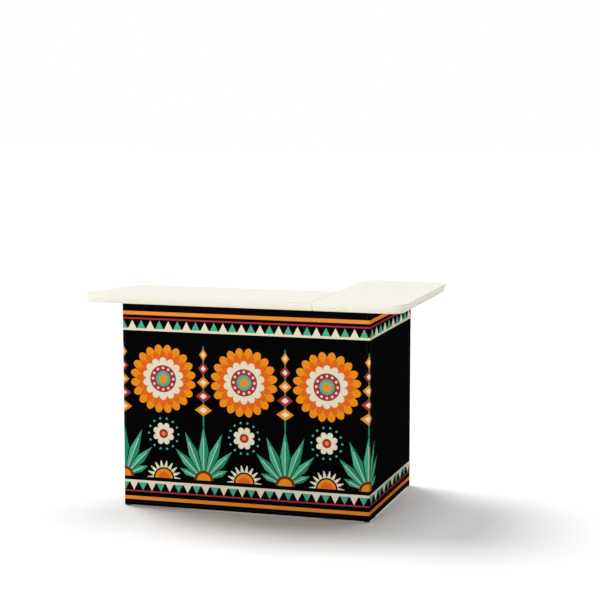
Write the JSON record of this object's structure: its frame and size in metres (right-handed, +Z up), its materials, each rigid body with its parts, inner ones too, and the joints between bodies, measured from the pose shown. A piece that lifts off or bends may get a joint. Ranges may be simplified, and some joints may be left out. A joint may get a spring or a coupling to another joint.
{
  "type": "portable bar",
  "caption": "Portable L-shaped serving bar: off-white moulded top with a slanted end on a folding tube frame, with fold-up shelves and a printed fabric cover.",
  "frame": {"origin": "on the floor, under the centre of the countertop's bounding box", "axes": "+Z up, +X along the front from the slanted end to the return, +Y from the guests' side to the server's side"},
  "size_m": [1.6094, 0.9754, 1.067],
  "materials": {
    "moulded_top": "fine-grained off-white moulding",
    "moulded_shelf": "satin off-white moulding",
    "printed_cover": "coated woven polyester with a printed pattern",
    "hook_tape": "hook-and-loop tape",
    "black_plastic": "satin",
    "zinc_steel": "zinc plated",
    "black_powder_coat": "black powder coat"
  },
  "bodies": {
    "front_frame": {"front_post_left": "black_powder_coat", "front_post_right": "black_powder_coat", "front_post_middle": "black_powder_coat", "front_bottom_rail": "black_powder_coat", "front_mid_rail_left": "black_powder_coat", "front_mid_rail_right": "black_powder_coat", "front_top_rail": "black_powder_coat", "front_feet": "black_plastic", "front_caps": "black_plastic", "pintle_brackets": "black_powder_coat", "pintle_pins": "zinc_steel", "long_hinge_fixed": "zinc_steel", "front_strips": "hook_tape", "cover_front": "printed_cover"},
    "left_frame": {"left_near_post": "black_powder_coat", "left_far_post": "black_powder_coat", "left_bottom_rail": "black_powder_coat", "left_mid_rail": "black_powder_coat", "left_top_rail": "black_powder_coat", "left_feet": "black_plastic", "left_caps": "black_plastic", "left_barrels": "black_powder_coat", "left_ledge": "black_powder_coat", "left_strips": "hook_tape", "cover_left": "printed_cover"},
    "gate_frame": {"gate_near_post": "black_powder_coat", "gate_far_post": "black_powder_coat", "gate_bottom_rail": "black_powder_coat", "gate_mid_rail": "black_powder_coat", "gate_top_rail": "black_powder_coat", "gate_feet": "black_plastic", "gate_caps": "black_plastic", "gate_barrels": "black_powder_coat", "gate_ledges": "black_powder_coat"},
    "right_frame": {"right_near_post": "black_powder_coat", "right_far_post": "black_powder_coat", "right_bottom_rail": "black_powder_coat", "right_mid_rail": "black_powder_coat", "right_top_rail": "black_powder_coat", "right_feet": "black_plastic", "right_caps": "black_plastic", "right_barrels": "black_powder_coat", "right_strips": "hook_tape", "cover_right": "printed_cover", "return_hinge_fixed": "zinc_steel"},
    "long_shelf_leaf": {"long_shelf": "moulded_shelf", "long_hinge_moving": "zinc_steel", "long_hinge_pins": "zinc_steel"},
    "return_shelf_leaf": {"return_shelf": "moulded_shelf", "return_hinge_moving": "zinc_steel", "return_hinge_pins": "zinc_steel"},
    "long_top": {"top_panel_long": "moulded_top", "long_top_dowels": "zinc_steel"},
    "return_top": {"top_panel_return": "moulded_top", "return_top_dowels": "zinc_steel"}
  },
  "joints": [
    {"name": "right_fold", "type": "hinge", "parent": "front_frame", "child": "right_frame", "pos_m": [0.5728, -0.2488, 0.162], "axis": [0, 0, 1], "range_deg": [0, 90]},
    {"name": "gate_fold", "type": "hinge", "parent": "front_frame", "child": "gate_frame", "pos_m": [0.3405, -0.3038, 0.162], "axis": [0, 0, 1], "range_deg": [0, 90]},
    {"name": "left_fold", "type": "hinge", "parent": "front_frame", "child": "left_frame", "pos_m": [-0.6068, -0.3038, 0.162], "axis": [0, 0, -1], "range_deg": [0, 90]},
    {"name": "long_shelf_fold", "type": "hinge", "parent": "front_frame", "child": "long_shelf_leaf", "pos_m": [-0.13315, -0.3193, 0.526], "axis": [1, 0, 0], "range_deg": [0, 90]},
    {"name": "return_shelf_fold", "type": "hinge", "parent": "right_frame", "child": "return_shelf_leaf", "pos_m": [0.5763, 0.13855, 0.526], "axis": [0, 1, 0], "range_deg": [0, 90]},
    {"name": "long_top_lift", "type": "slide", "parent": "front_frame", "child": "long_top", "axis": [0, 0, 1], "range_m": [0, 0.16]},
    {"name": "return_top_lift", "type": "slide", "parent": "front_frame", "child": "return_top", "axis": [0, 0, 1], "range_m": [0, 0.16]}
  ],
  "couplings": [
    {"joint": "gate_fold", "follows": "right_fold", "ratio": 1},
    {"joint": "left_fold", "follows": "right_fold", "ratio": 1},
    {"joint": "long_shelf_fold", "follows": "right_fold", "ratio": 1},
    {"joint": "return_shelf_fold", "follows": "right_fold", "ratio": 1}
  ]
}
